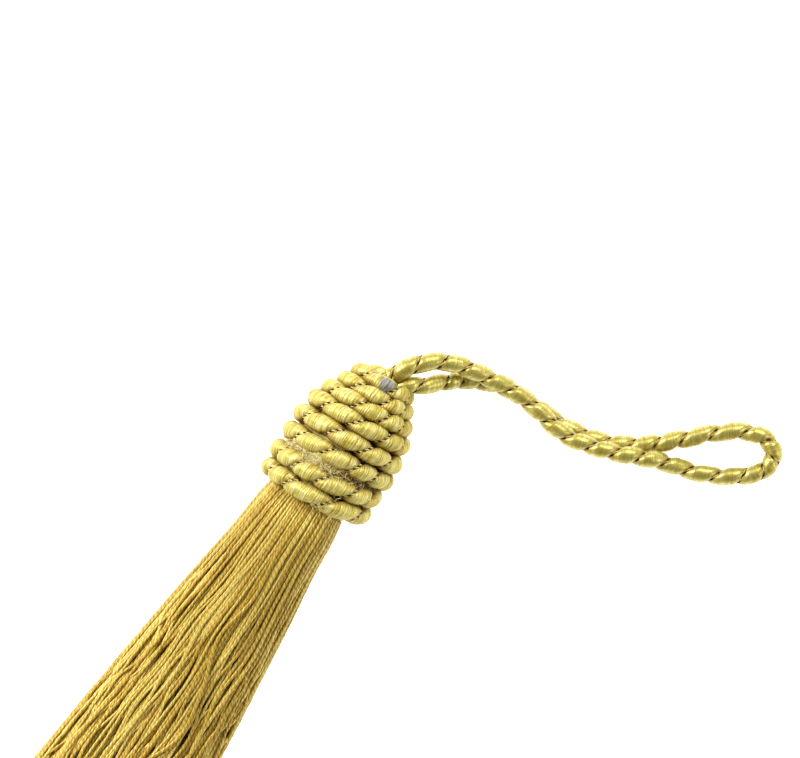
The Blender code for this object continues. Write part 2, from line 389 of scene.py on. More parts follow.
def makeGimpSilk(name, finish):
    material, nodes, links, shader = newMaterial(name, finish["gold"])
    strands, relief = addStrands(nodes, links, attribute(nodes, "wrap", "Vector"),
                                 silkWrap["fine"], silkWrap["broad"], silkWrap["stretch"])
    tone = ramp(nodes, links, strands, [(0.0, finish["shade"]), (silkWrap["goldPlace"], finish["gold"]),
                                        (1.0, finish["pale"])])
    # painted shade, mixed in towards the cord's creases
    paintedCreaseShade = attribute(nodes, "paintedCreaseShade")
    shadedTone = mixColors(nodes, links, paintedCreaseShade, tone, silkWrap["paintedCreaseShade"])
    stain = makeStain(nodes, links)
    darkPlace, palePlace = smudge["streaks"]
    grey = ramp(nodes, links, strands, [(darkPlace, smudge["dark"]), (palePlace, smudge["pale"])])
    links.new(mixColors(nodes, links, stain, shadedTone, grey), shader.inputs["Base Color"])
    roughness = mapRange(nodes, links, strands, finish["rough"] + silkWrap["roughSpread"], finish["rough"])
    links.new(roughness, shader.inputs["Roughness"])
    links.new(mapRange(nodes, links, stain, finish["metal"], 0.0), shader.inputs["Metallic"])
    shader.inputs["Coat Weight"].default_value = finish["coat"]
    shader.inputs["Coat Roughness"].default_value = silkWrap["coatRough"]
    shader.inputs["Specular IOR Level"].default_value = silkWrap["specular"]
    shader.inputs["Specular Tint"].default_value = (*finish["gloss"], 1.0)
    addBump(nodes, links, shader, relief, finish["relief"], silkWrap["depth"])
    return material


thread = {
    "grain": 6000.0,       # to a m
    "darkPlace": 0.35,
    "lightPlace": 0.65,
    "roughSpread": 0.15,
    "relief": 0.4,
    "depth": 0.02,         # mm
}


def makeThread(name, dark, light, rough, specular):
    material, nodes, links, shader = newMaterial(name, light)
    noise = objectNoise(nodes, links, thread["grain"])
    tone = ramp(nodes, links, noise, [(thread["darkPlace"], dark), (thread["lightPlace"], light)])
    links.new(tone, shader.inputs["Base Color"])
    roughness = mapRange(nodes, links, noise, rough, rough + thread["roughSpread"])
    links.new(roughness, shader.inputs["Roughness"])
    shader.inputs["Specular IOR Level"].default_value = specular
    addBump(nodes, links, shader, noise, thread["relief"], thread["depth"])
    return material


yarnFinish = {
    "shade": (0.29, 0.145, 0.012),
    "gold": (0.505, 0.345, 0.046),
    "pale": (0.71, 0.565, 0.16),
}
coreFinish = {
    "shade": (0.07, 0.032, 0.003),
    "gold": (0.30, 0.19, 0.03),
    "pale": (0.52, 0.40, 0.10),
}
fuzzFinish = {
    "shade": (0.13, 0.062, 0.006),
    "gold": (0.50, 0.36, 0.075),
    "pale": (0.86, 0.76, 0.36),
}
floss = {
    "broadShare": 0.3,     # of the fine streaks' scale
    "stretchShare": 0.6,
    "goldPlace": 0.45,
    "roughSpread": 0.12,
    "metal": 0.2,
    "relief": 0.6,
    "depth": 0.03,         # mm
}


def makeFloss(name, finish, fine, rough, plyPitch=None):
    material, nodes, links, shader = newMaterial(name, finish["gold"])
    place = attribute(nodes, "wrap", "Vector")
    if plyPitch:
        twisted = nodes.new("ShaderNodeGroup")
        twisted.node_tree = twistedPlies
        twisted.inputs["Pitch"].default_value = plyPitch
        links.new(place, twisted.inputs["Wrap"])
        place = twisted.outputs["Place"]
    strands, relief = addStrands(nodes, links, place, fine, fine * floss["broadShare"],
                                 fine * floss["stretchShare"])
    toneAndShade = attribute(nodes, "toneAndShade")  # how much lighter one yarn or fibre is than its neighbours, and on the core and the gap's fibres painted light and shade by side
    value = calculate(nodes, links, "ADD", strands, toneAndShade)
    if plyPitch:
        ply = twisted.outputs["Ply"]
        # painted shade in the grooves between the plies, lighter on their crowns; the tone is then lowered by
        # the dimming
        value = calculate(nodes, links, "MULTIPLY_ADD", ply, yarnPlies["plyGrooveShade"], value)
        value = calculate(nodes, links, "SUBTRACT", value, yarnPlies["dimming"])
        relief = calculate(nodes, links, "MULTIPLY_ADD", relief, yarnPlies["streakShare"], ply)
    tone = ramp(nodes, links, value, [(0.0, finish["shade"]), (floss["goldPlace"], finish["gold"]),
                                      (1.0, finish["pale"])])
    links.new(tone, shader.inputs["Base Color"])
    roughness = mapRange(nodes, links, strands, rough + floss["roughSpread"], rough)
    links.new(roughness, shader.inputs["Roughness"])
    shader.inputs["Metallic"].default_value = floss["metal"]
    shader.inputs["Specular Tint"].default_value = (*gimpFinish["gloss"], 1.0)
    addBump(nodes, links, shader, relief, floss["relief"], floss["depth"])
    return material


gimpSilk = makeGimpSilk("gimpSilk", gimpFinish)
loopSilk = makeGimpSilk("loopSilk", loopFinish)
blackPly = makeThread("blackPly", dark=(0.003, 0.002, 0.001), light=(0.014, 0.009, 0.004),
                      rough=0.5, specular=0.15)
palePly = makeThread("palePly", dark=(0.52, 0.42, 0.10), light=(0.84, 0.75, 0.33), rough=0.35, specular=0.5)
goldPly = makeThread("goldPly", dark=(0.36, 0.26, 0.04), light=(0.66, 0.54, 0.17), rough=0.4, specular=0.5)
yarnSilk = makeFloss("yarnSilk", yarnFinish, fine=2.0, rough=0.36, plyPitch=yarnPlies["pitch"])
coreFloss = makeFloss("coreFloss", coreFinish, fine=5.0, rough=0.5)
fuzzFloss = makeFloss("fuzzFloss", fuzzFinish, fine=2.0, rough=0.5)
print("materials ready")


# the gimp cord, and the two plies that bind it
gimp = {
    "radius": 1.1,
    "dent": 0.44,          # how deep the binding thread pinches
    "dentPower": 3.0,      # the higher, the narrower the pinch
    "headSwell": 1.12,     # on the head the turns press into each other
    "uneven": 0.035,       # share by which the cord swells and thins
    "unevenRings": 60,
    # places round the cord, in degrees from the binding thread
    "sides": (9, 20, 33, 48, 65, 84, 104, 125, 147, 169),
}
ribs = {
    "width": 0.26,
    "headHeight": 0.072,
    "loopHeight": 0.014,
    "shape": (0.0, 0.85, 1.0, 0.85),  # the first ring of a rib is the groove before it
    "widths": (0.75, 1.3),
    "heights": (0.4, 1.25),
    # painted shade in the groove before each rib: its spread, and how dark it is at most
    "grooves": (0.1, 1.0),
    "grooveShade": 0.85,
    "spare": 1.3,          # more ribs than fit, because their widths vary
    "pinched": 0.8,        # how far they flatten under the binding thread
    "pinchPower": 4,
}
# painted shade in the cord's hollows
shadeInCreases = {
    "thread": 0.9,         # how much painted shade browns the cord beside its binding thread
    "turns": 0.6,          # painted shade where the turns of the head meet
    "power": 6,
    "inside": 0.35,        # painted shade on the side towards the core
    "insideRise": 2,
}
binding = {
    "headPly": 0.09,       # radius of one ply
    "loopPly": 0.085,
    "headPitch": 0.8,      # of the two plies round each other
    "loopPitch": 1.3,
    "sink": 0.07,          # how far above the pinch the thread's middle lies
    "meanReach": 0.8,      # from the cord's middle, for the thread's length
    "step": 0.12,
    "sides": 6,
}
relative = np.radians([-a for a in reversed(gimp["sides"])] + [0] + list(gimp["sides"]))


def ribRows(length, height, seed):
    # four rings to each rib of the wrap, ribs of uneven width and height, with painted shade of uneven depth
    # in the groove before each
    rng = np.random.default_rng(seed)
    shape = np.array(ribs["shape"])
    count = int(length / ribs["width"] * ribs["spare"])
    widths = ribs["width"] * rng.uniform(*ribs["widths"], count)
    heights = height * rng.uniform(*ribs["heights"], count)
    grooveShades = ribs["grooveShade"] * rng.uniform(*ribs["grooves"], count)
    starts = np.concatenate([[0.0], np.cumsum(widths)[:-1]])
    places = (starts[:, None] + widths[:, None] * np.arange(len(shape)) / len(shape)).ravel()
    lifts = (heights[:, None] * shape).ravel()
    grooves = (grooveShades[:, None] * (shape == 0)).ravel()
    keep = places < length
    return places[keep], lifts[keep], grooves[keep]


def cordReach(lifts, seed, radius, dent, power):
    # how far the skin of the cord stands from its middle, for every ring and side
    rng = np.random.default_rng(seed)
    near = 1 - np.abs(relative) / math.pi
    swell = gimp["uneven"] * waver(rng, len(lifts), gimp["unevenRings"])
    reach = radius - dent * near[None, :] ** power
    flattened = 1 - ribs["pinched"] * near[None, :] ** ribs["pinchPower"]
    return reach * (1 + swell[:, None]) + lifts[:, None] * flattened, near


def pliedThread(path, outward, turnStart, plyRadius, pitch):
    # two thin tubes twisted round each other along the path
    run = runLength(path)
    along = unit(np.gradient(path, axis=0))
    side = unit(outward - (outward * along).sum(axis=1)[:, None] * along)
    other = np.cross(along, side)
    twist = 2 * math.pi * (run / pitch + turnStart)
    around = 2 * math.pi * np.arange(binding["sides"]) / binding["sides"]
    tubes = []
    for start in (0.0, math.pi):
        middle = path + plyRadius * spokes((twist + start)[:, None], side, other)[:, 0]
        tube = middle[:, None] + plyRadius * spokes(around[None, :], side, other)
        tube[:, :, 2] = np.maximum(tube[:, :, 2], 0.0)
        tubes.append(tube)
    return tubes


def threadCount(length, turns):
    return int(math.hypot(length, turns * 2 * math.pi * binding["meanReach"]) / binding["step"])


# the head is eight turns of the cord
head = {
    # where the cord's middle crosses the left, front and right of each turn along X, and the outer radius
    "turns": (
        (-7.05, -7.2, -5.7, 7.44),
        (-4.7, -4.75, -3.2, 7.60),
        (-1.9, -1.5, -0.7, 7.60),
        (0.7, 1.1, 1.6, 7.60),
        (3.2, 3.4, 4.1, 7.10),
        (5.2, 5.5, 6.1, 6.30),
        (7.1, 7.3, 7.8, 5.25),
        (8.8, 9.1, 9.4, 4.20),
    ),
    "start": -0.8125,
    "startRun": -0.2,
    # turn, and how much deeper than the first turn the cord lies there
    "tuck": ((-0.8125, 3.2), (-0.6, 1.3), (-0.4, 0.5), (-0.25, 0.25)),
    # past the last turn the cord curls in and dives: turn, X, radius of its middle
    "curl": ((7.5, 9.65, 2.5), (7.75, 9.85, 1.7), (7.95, 9.2, 1.1)),
    # degrees from the front line at which the binding thread shows on each turn
    "crossings": (
        (-59, -28, 17, 61),
        (-59, -30, 0, 35, 61),
        (-48, -12, 22, 48),
        (-54, -16, 21, 54),
        (-42, -2, 35, 66),
        (-52, -11, 25, 56),
        (-32, 18, 54),
        (-36, 23, 67),
    ),
    "usualPitch": 4.1,
    "pressed": 0.5,        # turns whose middles are nearer than this don't press
    "softness": 0.05,
    "samples": 20001,
    "settling": 0.4,       # turns over which the first turn's skin takes its neighbours' slant
}
axisZ = 7.15


def windingAt(turns):
    # X and radius of the cord's middle
    rows = head["turns"]
    sideTurns = [number + side for number in range(len(rows)) for side in (-0.25, 0, 0.25)]
    sideX = [x for row in rows for x in row[:3]]
    curlTurns = [c[0] for c in head["curl"]]
    x = smoothCurve([head["start"]] + sideTurns + curlTurns,
                    [sideX[0] + head["startRun"]] + sideX + [c[1] for c in head["curl"]], turns)
    middles = [row[3] - gimp["radius"] for row in rows]
    tucked = [middles[0] - t[1] for t in head["tuck"]]
    radius = smoothCurve([t[0] for t in head["tuck"]] + list(range(len(rows))) + curlTurns,
                         tucked + middles + [c[2] for c in head["curl"]], turns)
    return np.stack([x, radius], axis=1)


def headPoints(turns, x, radius):
    # turn 0 is the top, a quarter on is the -Y side
    angle = 2 * math.pi * turns
    radius = np.maximum(radius, 0.0)
    return np.stack([x, -radius * np.sin(angle), np.maximum(axisZ + radius * np.cos(angle), 0.0)], axis=-1)


headEnd = head["curl"][-1][0]
fineTurns = np.linspace(head["start"], headEnd, head["samples"])
finePlaces = windingAt(fineTurns)
fineAngle = 2 * math.pi * fineTurns
fineRun = runLength(np.stack([finePlaces[:, 0], -finePlaces[:, 1] * np.sin(fineAngle),
                              finePlaces[:, 1] * np.cos(fineAngle)], axis=1))


def headPhases(turns):
    # how many times the binding thread has gone round the cord
    places = [number + degrees / 360 for number, row in enumerate(head["crossings"]) for degrees in row]
    runs = np.interp(places, fineTurns, fineRun)
    counts = [0]
    for i in range(1, len(places)):
        hidden = int(places[i] + 0.5) != int(places[i - 1] + 0.5)
        more = max(1, round((runs[i] - runs[i - 1]) / head["usualPitch"])) if hidden else 1
        counts.append(counts[-1] + more)
    before = runs[0] / head["usualPitch"]
    after = (fineRun[-1] - runs[-1]) / head["usualPitch"]
    return smoothCurve(np.concatenate([[0.0], runs, [fineRun[-1]]]),
                       np.concatenate([[-before], counts, [counts[-1] + after]]),
                       np.interp(turns, fineTurns, fineRun))


def softLimit(offset, direction, limit):
    # keeps the offset behind the plane that the neighbouring turn presses on
    soft = head["softness"]
    reach = (offset * direction).sum(axis=-1)
    over = soft * np.logaddexp(0.0, (reach - limit) / soft)
    return offset - over[..., None] * direction


def squeezed(turns, centre, offset):
    for shift in (-1, 1):
        other = windingAt(np.clip(turns + shift, head["start"], headEnd))
        there = (turns + shift >= head["start"]) & (turns + shift <= headEnd)
        span = other - centre
        width = np.linalg.norm(span, axis=1)
        there &= width > head["pressed"]
        width = np.where(there, width, 99.0)  # too far off to press
        direction = np.where(there[:, None], span / np.maximum(width, head["pressed"])[:, None], 0.0)
        offset = softLimit(offset, direction[:, None], (width / 2)[:, None])
    return offset


def headSkin(turns, reach, angles):
    centre = windingAt(turns)
    below = windingAt(np.clip(turns - 1, head["start"], headEnd))
    above = windingAt(np.clip(turns + 1, head["start"], headEnd))
    # the first turn has none below it
    settled = np.clip((turns - head["start"] - 1) / head["settling"], 0, 1)[:, None]
    fromBelow = 2 * (1 - settled) * (above - centre) + settled * (above - below)
    up = unit(np.where((turns > headEnd - 1)[:, None], centre - below, fromBelow))
    out = np.stack([-up[:, 1], up[:, 0]], axis=1)
    offset = squeezed(turns, centre, reach[..., None] * spokes(angles, out, up))
    place = centre[:, None] + offset
    return headPoints(turns[:, None] + 0 * place[..., 0], place[..., 0], place[..., 1])


places, lifts, grooves = ribRows(fineRun[-1], ribs["headHeight"], seed=3)
turns = np.interp(places, fineRun, fineTurns)
phases = headPhases(turns)
swollen = gimp["radius"] * gimp["headSwell"]
reach, near = cordReach(lifts, seed=4, radius=swollen, dent=gimp["dent"] + swollen - gimp["radius"],
                        power=gimp["dentPower"])
angles = 2 * math.pi * phases[:, None] + relative[None, :]
rings = headSkin(turns, reach, angles)
wrap = np.stack([places[:, None] + 0 * angles, np.cos(angles), np.sin(angles)], axis=-1)
pressed = (turns[:, None] > 1) | (np.sin(angles) > 0)  # the first turn has no neighbour on the skirt's side
# painted shade beside the binding thread, where the turns meet, on the side towards the core and in the wrap's
# grooves
paintedCreaseShade = np.clip(shadeInCreases["thread"] * near[None, :] ** shadeInCreases["power"]
                 + shadeInCreases["turns"] * np.abs(np.sin(angles)) ** shadeInCreases["power"] * pressed
                 + shadeInCreases["inside"] * np.clip(-shadeInCreases["insideRise"] * np.cos(angles), 0, 1)
                 + grooves[:, None], 0, 1)
headCord = addTubes("head_cord", [rings], gimpSilk, [("wrap", [wrap]), ("paintedCreaseShade", [paintedCreaseShade])])
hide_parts("head_winding")

count = threadCount(fineRun[-1], phases[-1] - phases[0])
threadTurns = np.interp(np.linspace(0, fineRun[-1], count), fineRun, fineTurns)
threadAngles = 2 * math.pi * headPhases(threadTurns)[:, None]
depth = gimp["radius"] - gimp["dent"] + binding["sink"]
threadPath = headSkin(threadTurns, np.full((count, 1), depth), threadAngles)[:, 0]
cordMiddle = headPoints(threadTurns, *windingAt(threadTurns).T)
dark, pale = pliedThread(threadPath, threadPath - cordMiddle, turnStart=0.0, plyRadius=binding["headPly"],
                         pitch=binding["headPitch"])
addTubes("head_thread_dark", [dark], blackPly)
addTubes("head_thread_pale", [pale], palePly)
print("head wound:", round(float(fineRun[-1])), "mm of cord")


loop = {
    "route": (
        (9.5, 0.3, 7.1), (11.1, -0.35, 7.64), (12.1, -0.85, 7.84), (15.0, -3.3, 7.4), (16.4, -5.9, 6.5),
        (17.0, -8.5, 5.75), (17.3, -10.6, 5.15), (17.6, -12.9, 4.55), (17.6, -15.4, 4.05), (17.3, -18.0, 3.7),
        (16.9, -20.1, 3.55), (16.7, -22.3, 3.47), (17.3, -25.4, 3.4), (18.2, -28.2, 3.3), (19.3, -30.8, 3.1),
        (20.3, -33.0, 2.5), (21.0, -35.1, 1.65), (21.6, -37.2, 1.15), (22.5, -39.7, 1.1), (23.9, -42.2, 1.1),
        (25.4, -44.2, 1.1), (26.9, -45.4, 1.1), (28.4, -45.7, 1.1), (29.7, -45.1, 1.1), (30.4, -43.7, 1.1),
        (30.2, -41.9, 1.1), (29.1, -39.8, 1.1), (27.3, -37.6, 1.1), (25.0, -35.3, 1.1), (20.4, -30.0, 1.1),
        (18.8, -27.0, 1.1), (17.9, -23.8, 1.1), (17.6, -20.5, 1.1), (17.7, -17.0, 1.1), (17.6, -13.6, 1.5),
        (17.0, -11.2, 2.15), (16.0, -9.1, 3.05), (14.9, -7.3, 4.1), (13.5, -5.7, 5.2), (12.0, -4.1, 6.35),
        (11.0, -2.7, 6.95), (9.8, -1.5, 6.9),
    ),
    "radius": 1.16,
    "dentPower": 3.8,      # the pinches are narrower than on the head
    "sink": 0.05,          # how far above the pinch the thread's middle lies
    "grooveShadeShare": 0.3,    # the painted shade in the wrap's grooves is fainter than on the head
    "samples": 6001,
    "pathPoints": 400,
    "look": 0.2,           # mm ahead and behind, for the cord's direction
    # mm along the cord, and how deep the binding thread pinches there
    "dents": ((0, 0.28), (9, 0.36), (18, 0.52), (48, 0.58), (51, 0.36), (55, 0.36), (59, 0.58),
              (80, 0.56), (100, 0.52), (108, 0.36)),
    # mm along the cord, and how many times the binding thread has gone round it by then
    "binding": ((0, -1.5), (4.8, 0), (24, 6), (43.2, 12), (46.8, 13), (50.25, 14), (52.9, 15), (55.0, 16),
                (57.4, 17), (68.4, 20), (81.6, 24), (96, 28), (98.8, 29), (101.1, 30), (104.9, 31), (108, 32)),
}
route = np.array(loop["route"])
routeKnots = runLength(route)
fineLoop = smoothCurve(routeKnots, route, np.linspace(0, routeKnots[-1], loop["samples"]))
fineLoopRun = runLength(fineLoop)
loopLength = fineLoopRun[-1]


def loopPoint(at):
    at = np.clip(at, 0, loopLength)
    return np.stack([np.interp(at, fineLoopRun, fineLoop[:, i]) for i in range(3)], axis=1)


def loopFrames(at):
    along = unit(loopPoint(at + loop["look"]) - loopPoint(at - loop["look"]))
    side = uprightSide(along)
    return loopPoint(at), side, np.cross(along, side)


def loopPhases(at):
    spots = np.array(loop["binding"], float)
    return smoothCurve(spots[:, 0], spots[:, 1], at)


places, lifts, grooves = ribRows(loopLength, ribs["loopHeight"], seed=7)
middle, side, other = loopFrames(places)
dents = np.interp(places, *zip(*loop["dents"]))[:, None]
reach, near = cordReach(lifts, seed=8, radius=loop["radius"], dent=dents, power=loop["dentPower"])
angles = -2 * math.pi * loopPhases(places)[:, None] + relative[None, :]
rings = middle[:, None] + reach[..., None] * spokes(angles, side, other)
rings[:, :, 2] = np.maximum(rings[:, :, 2], 0.0)
wrap = np.stack([places[:, None] + 0 * angles, np.cos(angles), np.sin(angles)], axis=-1)
# painted shade beside the binding thread and, fainter, in the wrap's grooves
paintedCreaseShade = np.clip(shadeInCreases["thread"] * near[None, :] ** shadeInCreases["power"]
                 + loop["grooveShadeShare"] * grooves[:, None] + 0 * angles, 0, 1)
loopCord = addTubes("loop_cord", [rings], loopSilk, [("wrap", [wrap]), ("paintedCreaseShade", [paintedCreaseShade])])
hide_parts("hanging_loop")

turnsRound = np.ptp(loopPhases(np.array([0.0, loopLength])))
at = np.linspace(0, loopLength, threadCount(loopLength, turnsRound))
middle, side, other = loopFrames(at)
angle = -2 * math.pi * loopPhases(at)[:, None]
outward = spokes(angle, side, other)[:, 0]
depth = loop["radius"] - np.interp(at, *zip(*loop["dents"]))[:, None] + loop["sink"]
dark, gold = pliedThread(middle + depth * outward, outward, turnStart=0.3, plyRadius=binding["loopPly"],
                         pitch=binding["loopPitch"])
loopThreads = [addTubes("loop_thread_dark", [dark], blackPly), addTubes("loop_thread_pale", [gold], goldPly)]
print("loop laid:", round(float(loopLength)), "mm of cord")


# loose fibres between the second and third turns and round the base
fuzz = {
    "width": 0.042,
    "taper": 0.06,         # share of its length where a fibre's taper would end in a point
    "thinnest": 0.2,
    "radius": 6.5,         # of the ground that they lie on
    "streaks": 2,
    "toneSpread": 0.6,
    "leftPaintedLight": 0.55,   # painted light on the left and painted shade towards the right side of the gap, on the fibres and the core
    "rightPaintedShade": 0.65,
    "middle": 0.015,       # turn
    "change": 0.05,
}
gapFibres = {
    # lie in the gap, mostly along the head with a lean
    "count": 520,
    "turns": (-0.22, -0.07, 0.22),
    "x": (-4.4, -1.9),
    "lean": (0.8, 0.4),    # radians, mean and spread
    "lengths": (1.4, 3.8),
    "points": 7,
    "lifts": (0.0, 0.5),
    "wave": 0.12,
    "waves": (3, 8),
    "waveStarts": (0, 6),
    "bow": 1.6,
    "shake": 0.035,
    "meanRadius": 6.3,
    "widths": (0.6, 1.3),
    "bleachedShare": 0.2,
    "bleached": 0.8,
}
hairs = {
    # stand up from the cord's edges near the gap and the base
    "count": 430,
    "turn": (0.03, 0.1),   # mean and spread
    "turnLimits": (-0.16, 0.17),
    "x": (-6.2, -4.0, -3.7, -2.4, -7.7, -7.4, -4.4),
    "xSpread": 0.3,
    "baseX": -7,
    "baseTurns": 0.55,     # at the base they keep off its sides
    "lengths": (0.3, 1.1),
    "points": 6,
    "leans": (-1.2, 1.2),
    "rises": (0.1, 0.8),
    "lifts": (0, 0.8),
    "bendAlong": 0.15,
    "bendAround": 0.2,
    "meanRadius": 6.8,
    "widths": (0.4, 0.9),
}


def gapShade(turn):
    # painted light on the left of the gap and painted shade on its right
    right = np.clip((turn - fuzz["middle"]) / fuzz["change"] + 0.5, 0, 1)
    return fuzz["leftPaintedLight"] * (1 - right) - fuzz["rightPaintedShade"] * right


# the core that the cord is wound on
core = {
    # X and radius, from the skirt to the loop
    "profile": ((-7.9, 4.4), (-7.2, 5.2), (-4.9, 6.1), (-3.9, 6.45), (-2.5, 6.45), (-1.3, 5.7), (1.1, 5.5),
                (3.4, 5.0), (5.5, 4.2), (7.3, 3.2), (8.6, 2.2), (9.3, 1.5), (9.5, 0.7)),
    "sides": 56,
    "streaksRound": 5,     # mm, the radius that its streaks are laid on
    "streaksAlong": 0.3,
}


def makeCore():
    first = core["profile"][0]
    bpy.ops.object.select_all(action="DESELECT")
    bpy.ops.mesh.primitive_circle_add(vertices=core["sides"], radius=first[1] * mm, fill_type="NGON",
                                      location=(first[0] * mm, 0, axisZ * mm), rotation=(0, math.pi / 2, 0))
    piece = bpy.context.object
    bpy.ops.object.transform_apply(location=True, rotation=True, scale=True)
    bpy.ops.object.mode_set(mode="EDIT")
    bpy.ops.mesh.select_all(action="SELECT")
    for (oldX, oldRadius), (newX, newRadius) in zip(core["profile"], core["profile"][1:]):
        bpy.ops.mesh.extrude_region_move(TRANSFORM_OT_translate={"value": ((newX - oldX) * mm, 0, 0)})
        share = newRadius / oldRadius
        bpy.ops.transform.resize(value=(1, share, share), center_override=(newX * mm, 0, axisZ * mm))
    bpy.ops.mesh.select_all(action="SELECT")
    bpy.ops.mesh.normals_make_consistent(inside=False)
    bpy.ops.object.mode_set(mode="OBJECT")
    smoothing = piece.modifiers.new("smoothing", "SUBSURF")
    smoothing.levels = smoothing.render_levels = 1
    bpy.ops.object.modifier_apply(modifier="smoothing")
    bpy.ops.object.shade_smooth()
    piece.name = piece.data.name = "head_core"
    places = np.array([v.co for v in piece.data.vertices]) / mm
    turned = np.arctan2(places[:, 1], places[:, 2] - axisZ)
    wrapRadius = core["streaksRound"]
    wrap = np.stack([wrapRadius * np.cos(turned), wrapRadius * np.sin(turned),
                     places[:, 0] * core["streaksAlong"]], axis=1)
    layer = piece.data.attributes.new("wrap", "FLOAT_VECTOR", "POINT")
    layer.data.foreach_set("vector", wrap.astype(np.float32).ravel())
    # the core takes the gap's painted light and shade by side
    layer = piece.data.attributes.new("toneAndShade", "FLOAT", "POINT")
    layer.data.foreach_set("value", gapShade(-turned / (2 * math.pi)).astype(np.float32))
    piece.data.materials.clear()
    piece.data.materials.append(coreFloss)
    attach(piece, "root")
    return piece


makeCore()
print("core made")


def fibre(points, width):
    # a thin three-sided tube that tapers at both ends
    along = unit(np.gradient(points, axis=0))
    aslant = np.array([0.31, 0.52, 0.79])  # along no fibre
    side = unit(np.cross(along, aslant))
    around = 2 * math.pi * np.arange(3) / 3
    share = np.linspace(fuzz["taper"], 1 - fuzz["taper"], len(points))
    size = width * np.clip(np.sin(math.pi * share) * 2, fuzz["thinnest"], 1)
    return points[:, None] + size[:, None, None] * spokes(around[None, :], side, np.cross(along, side))


def gapFibre(rng):
    turn = rng.triangular(*gapFibres["turns"])
    x = rng.uniform(*gapFibres["x"])
    lean = rng.choice([-1, 1]) * rng.normal(*gapFibres["lean"])
    length = rng.uniform(*gapFibres["lengths"])
    t = np.linspace(-0.5, 0.5, gapFibres["points"])
    lift = rng.uniform(*gapFibres["lifts"])
    waving = t * rng.uniform(*gapFibres["waves"]) + rng.uniform(*gapFibres["waveStarts"])
    wave = gapFibres["wave"] * np.sin(waving)
    bow = rng.normal(0, gapFibres["bow"]) * t**2 + gapFibres["shake"] * rng.normal(size=len(t))
    xs = x + length * t * math.cos(lean) - bow * math.sin(lean)
    aside = length * t * math.sin(lean) + bow * math.cos(lean)
    turns = turn + aside / gapFibres["meanRadius"] / (2 * math.pi)
    width = fuzz["width"] * rng.uniform(*gapFibres["widths"])
    bleached = gapFibres["bleached"] if rng.uniform() < gapFibres["bleachedShare"] else 0.0
    # random tone and bleaching, with the gap's painted light and shade by side
    tone = fuzz["toneSpread"] * rng.uniform(-1, 1) + float(gapShade(turn)) + bleached
    return fibre(headPoints(turns, xs, fuzz["radius"] + lift + wave), width), tone


def hair(rng):
    turn = np.clip(rng.normal(*hairs["turn"]), *hairs["turnLimits"])
    x = rng.choice(hairs["x"]) + rng.normal(0, hairs["xSpread"])
    turn = turn * (hairs["baseTurns"] if x < hairs["baseX"] else 1)
    length = rng.uniform(*hairs["lengths"])
    t = np.linspace(0, 1, hairs["points"])
    lean = rng.uniform(*hairs["leans"])
    rise = rng.uniform(*hairs["rises"])
    radius = fuzz["radius"] + rng.uniform(*hairs["lifts"]) + length * rise * t
    xs = x + length * t * math.cos(lean) * rng.choice([-1, 1]) + hairs["bendAlong"] * t**2 * rng.normal()
    aside = length * (t * math.sin(lean) + hairs["bendAround"] * t**2 * rng.normal())
    turns = turn + aside / hairs["meanRadius"] / (2 * math.pi)
    width = fuzz["width"] * rng.uniform(*hairs["widths"])
    return fibre(headPoints(turns, xs, radius), width), fuzz["toneSpread"] * rng.uniform(-1, 1)


def makeFuzz():
    rng = np.random.default_rng(21)
    fibres = [gapFibre(rng) for number in range(gapFibres["count"])]
    fibres += [hair(rng) for number in range(hairs["count"])]
    tubes, tones = zip(*fibres)
    wrap = [tube * fuzz["streaks"] for tube in tubes]
    toneAndShade = [np.full(tube.shape[:2], tone) for tube, tone in fibres]
    return addTubes("head_fuzz", tubes, fuzzFloss, [("wrap", wrap), ("toneAndShade", toneAndShade)])


makeFuzz()
print("loose fibres laid")


skirt = {
    # distance from the root, half width, height, underside, flatness
    "stations": ((-2.2, 5.1, 9.8, 2.3, 0), (0, 5.5, 10.6, 2.0, 0), (5, 6.0, 10.4, 1.2, 0.25),
                 (12, 7.0, 9.2, 0.3, 0.7), (23, 8.4, 7.4, 0, 1), (50, 11.2, 5.4, 0, 1)),
    "rootX": -10.2,
    "rootHalf": 5.35,      # half the bundle's size at the root
    "rounding": 0.46,
    "layers": 13,
    "smallest": 0.06,      # a layer this small is one yarn in the middle
    "outerLayers": 2,
    "outer": (0.36, 8),    # mm from ring to ring, and sides
    "inner": (1.3, 6),
    "spotShake": 0.12,
    "start": -2.2,
    "length": 50.0,
    "endSpread": 0.9,
    "looseFrom": -4,       # from there the yarns begin to part
    "looseOver": 26,
    "drifts": 9,           # places along a yarn where its drift changes
    "driftStart": -3,
    "driftEnd": 52,
    "driftAcross": 0.06,
    "driftLayer": 0.055,
    "widest": (0.965, 0.94),  # across and layer
    "lowest": 0.3,
    "clump": 0.03,         # how far the yarns gather into bundles
    "bundles": 4.3,
    "strayShare": 0.09,    # outer yarns on top that wander across their neighbours
    "strayTop": 0.9,
    "strayDrift": 2.1,
    "strayLayer": 0.3,
    "strayLift": 0.36,
}
yarn = {
    "width": 0.42,
    "sizeSpread": 0.2,
    "lobe": 0.12,
    "lobePitch": 3.4,
    "pitches": (0.8, 1.25),
    "toneSpread": 0.3,
    "streakShift": 50,     # mm, so that no two yarns have the same streaks
}


def skirtSection(station, across, layer):
    rounding = skirt["rounding"]
    halfWidth, height, underside, flatness = station
    u = across * np.sqrt(1 - rounding * layer**2)
    v = layer * np.sqrt(1 - rounding * across**2)
    corner = math.sqrt(1 - rounding)
    rim = np.minimum(np.sqrt(np.maximum(1 - rounding * (u / corner) ** 2, 0)),
                     corner * np.sqrt(np.maximum(1 - u**2, 0) / rounding))
    return halfWidth * u, underside + height * (v + 1 - flatness + flatness * rim) / 2


def squareSpot(share, size):
    # a spot at a share of the way round a square of that half size
    angle = 2 * math.pi * share
    c, s = math.cos(angle), math.sin(angle)
    # a circle stretched to the square, evenly enough
    big = max(abs(c), abs(s))
    return size * c / big, size * s / big


